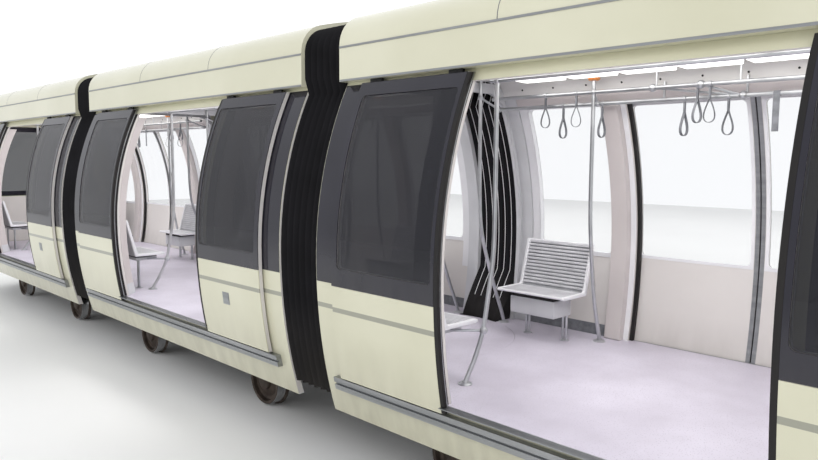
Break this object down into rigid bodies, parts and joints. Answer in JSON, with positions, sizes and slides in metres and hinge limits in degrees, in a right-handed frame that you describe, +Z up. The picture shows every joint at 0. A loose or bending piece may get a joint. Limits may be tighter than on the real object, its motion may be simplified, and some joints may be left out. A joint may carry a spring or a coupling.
{
  "type": "articulated cable-drawn people mover vehicle",
  "caption": "Articulated cable-drawn rail vehicle of short barrel-sided sections joined by bellows, with open sliding doors, benches, handrails and flanged wheels.",
  "frame": {"origin": "on the ground under the middle of the vehicle, level with the bottom of the wheel flanges", "axes": "+X along the track towards the tail section, -Y towards the platform with the open doors, +Z up"},
  "size_m": [15.6806, 2.6586, 3.56],
  "materials": {
    "ivory_paint": "gloss ivory coach paint",
    "frame_steel": "matt grey underframe paint",
    "stainless": "satin stainless tube",
    "seat_metal": "satin light grey",
    "wheel_steel": "rolled steel with polished treads",
    "bellows_rubber": "matt black coated fabric",
    "tinted_glass": "dark tinted glass",
    "lamp_lens": "clear lens"
  },
  "bodies": {
    "lead_body": {"lead_underframe": "frame_steel", "lead_door_wall": "ivory_paint", "lead_far_wall": "ivory_paint", "lead_roof": "ivory_paint", "lead_running_frame": "frame_steel", "lead_handrails_near": "stainless", "lead_handrails_far": "stainless", "lead_bench_near_a": "seat_metal", "lead_bench_near_b": "seat_metal", "lead_bench_far_a": "seat_metal", "lead_bench_far_b": "seat_metal", "lead_nose": "ivory_paint", "lead_windscreen": "tinted_glass", "lead_lamps": "lamp_lens"},
    "lead_door_leaf_a": {"lead_door_leaf_a": "ivory_paint"},
    "lead_door_leaf_b": {"lead_door_leaf_b": "ivory_paint"},
    "lead_far_leaf_a": {"lead_far_leaf_a": "ivory_paint"},
    "lead_far_leaf_b": {"lead_far_leaf_b": "ivory_paint"},
    "lead_wheelset_a": {"lead_wheelset_a": "wheel_steel"},
    "lead_wheelset_b": {"lead_wheelset_b": "wheel_steel"},
    "mid_body": {"mid_underframe": "frame_steel", "mid_door_wall": "ivory_paint", "mid_far_wall": "ivory_paint", "mid_roof": "ivory_paint", "mid_running_frame": "frame_steel", "mid_handrails_near": "stainless", "mid_handrails_far": "stainless", "mid_bench_near_a": "seat_metal", "mid_bench_near_b": "seat_metal", "mid_bench_far_a": "seat_metal", "mid_bench_far_b": "seat_metal", "cable_grip": "frame_steel", "lead_bellows": "bellows_rubber", "tail_bellows": "bellows_rubber"},
    "mid_door_leaf_a": {"mid_door_leaf_a": "ivory_paint"},
    "mid_door_leaf_b": {"mid_door_leaf_b": "ivory_paint"},
    "mid_far_leaf_a": {"mid_far_leaf_a": "ivory_paint"},
    "mid_far_leaf_b": {"mid_far_leaf_b": "ivory_paint"},
    "mid_wheelset_a": {"mid_wheelset_a": "wheel_steel"},
    "mid_wheelset_b": {"mid_wheelset_b": "wheel_steel"},
    "tail_body": {"tail_underframe": "frame_steel", "tail_door_wall": "ivory_paint", "tail_far_wall": "ivory_paint", "tail_roof": "ivory_paint", "tail_running_frame": "frame_steel", "tail_handrails_near": "stainless", "tail_handrails_far": "stainless", "tail_bench_near_a": "seat_metal", "tail_bench_near_b": "seat_metal", "tail_bench_far_a": "seat_metal", "tail_bench_far_b": "seat_metal", "tail_nose": "ivory_paint", "tail_windscreen": "tinted_glass", "tail_lamps": "lamp_lens"},
    "tail_door_leaf_a": {"tail_door_leaf_a": "ivory_paint"},
    "tail_door_leaf_b": {"tail_door_leaf_b": "ivory_paint"},
    "tail_far_leaf_a": {"tail_far_leaf_a": "ivory_paint"},
    "tail_far_leaf_b": {"tail_far_leaf_b": "ivory_paint"},
    "tail_wheelset_a": {"tail_wheelset_a": "wheel_steel"},
    "tail_wheelset_b": {"tail_wheelset_b": "wheel_steel"}
  },
  "joints": [
    {"name": "lead_pivot", "type": "hinge", "parent": "mid_body", "child": "lead_body", "pos_m": [-2.48, 0, 0.615], "axis": [0, 0, 1], "range_deg": [-7, 7], "deforming": ["lead_bellows"]},
    {"name": "tail_pivot", "type": "hinge", "parent": "mid_body", "child": "tail_body", "pos_m": [2.48, 0, 0.615], "axis": [0, 0, 1], "range_deg": [-7, 7], "deforming": ["tail_bellows"]},
    {"name": "lead_door_a", "type": "slide", "parent": "lead_body", "child": "lead_door_leaf_a", "axis": [1, 0, 0], "range_m": [0, 0.957]},
    {"name": "lead_door_b", "type": "slide", "parent": "lead_body", "child": "lead_door_leaf_b", "axis": [-1, 0, 0], "range_m": [0, 0.957]},
    {"name": "lead_far_door_a", "type": "slide", "parent": "lead_body", "child": "lead_far_leaf_a", "axis": [-1, 0, 0], "range_m": [0, 0.957]},
    {"name": "lead_far_door_b", "type": "slide", "parent": "lead_body", "child": "lead_far_leaf_b", "axis": [1, 0, 0], "range_m": [0, 0.957]},
    {"name": "lead_axle_a", "type": "hinge", "parent": "lead_body", "child": "lead_wheelset_a", "pos_m": [-6.21, 0, 0.25304], "axis": [0, 1, 0], "continuous": true},
    {"name": "lead_axle_b", "type": "hinge", "parent": "lead_body", "child": "lead_wheelset_b", "pos_m": [-3.71, 0, 0.25304], "axis": [0, 1, 0], "continuous": true},
    {"name": "mid_door_a", "type": "slide", "parent": "mid_body", "child": "mid_door_leaf_a", "axis": [1, 0, 0], "range_m": [0, 0.957]},
    {"name": "mid_door_b", "type": "slide", "parent": "mid_body", "child": "mid_door_leaf_b", "axis": [-1, 0, 0], "range_m": [0, 0.957]},
    {"name": "mid_far_door_a", "type": "slide", "parent": "mid_body", "child": "mid_far_leaf_a", "axis": [-1, 0, 0], "range_m": [0, 0.957]},
    {"name": "mid_far_door_b", "type": "slide", "parent": "mid_body", "child": "mid_far_leaf_b", "axis": [1, 0, 0], "range_m": [0, 0.957]},
    {"name": "mid_axle_a", "type": "hinge", "parent": "mid_body", "child": "mid_wheelset_a", "pos_m": [-1.25, 0, 0.25304], "axis": [0, 1, 0], "continuous": true},
    {"name": "mid_axle_b", "type": "hinge", "parent": "mid_body", "child": "mid_wheelset_b", "pos_m": [1.25, 0, 0.25304], "axis": [0, 1, 0], "continuous": true},
    {"name": "tail_door_a", "type": "slide", "parent": "tail_body", "child": "tail_door_leaf_a", "axis": [1, 0, 0], "range_m": [0, 0.957]},
    {"name": "tail_door_b", "type": "slide", "parent": "tail_body", "child": "tail_door_leaf_b", "axis": [-1, 0, 0], "range_m": [0, 0.957]},
    {"name": "tail_far_door_a", "type": "slide", "parent": "tail_body", "child": "tail_far_leaf_a", "axis": [-1, 0, 0], "range_m": [0, 0.957]},
    {"name": "tail_far_door_b", "type": "slide", "parent": "tail_body", "child": "tail_far_leaf_b", "axis": [1, 0, 0], "range_m": [0, 0.957]},
    {"name": "tail_axle_a", "type": "hinge", "parent": "tail_body", "child": "tail_wheelset_a", "pos_m": [3.71, 0, 0.25304], "axis": [0, 1, 0], "continuous": true},
    {"name": "tail_axle_b", "type": "hinge", "parent": "tail_body", "child": "tail_wheelset_b", "pos_m": [6.21, 0, 0.25304], "axis": [0, 1, 0], "continuous": true}
  ],
  "couplings": [
    {"joint": "lead_door_b", "follows": "lead_door_a", "ratio": 1},
    {"joint": "lead_far_door_b", "follows": "lead_far_door_a", "ratio": 1},
    {"joint": "mid_door_b", "follows": "mid_door_a", "ratio": 1},
    {"joint": "mid_far_door_b", "follows": "mid_far_door_a", "ratio": 1},
    {"joint": "tail_door_b", "follows": "tail_door_a", "ratio": 1},
    {"joint": "tail_far_door_b", "follows": "tail_far_door_a", "ratio": 1}
  ]
}
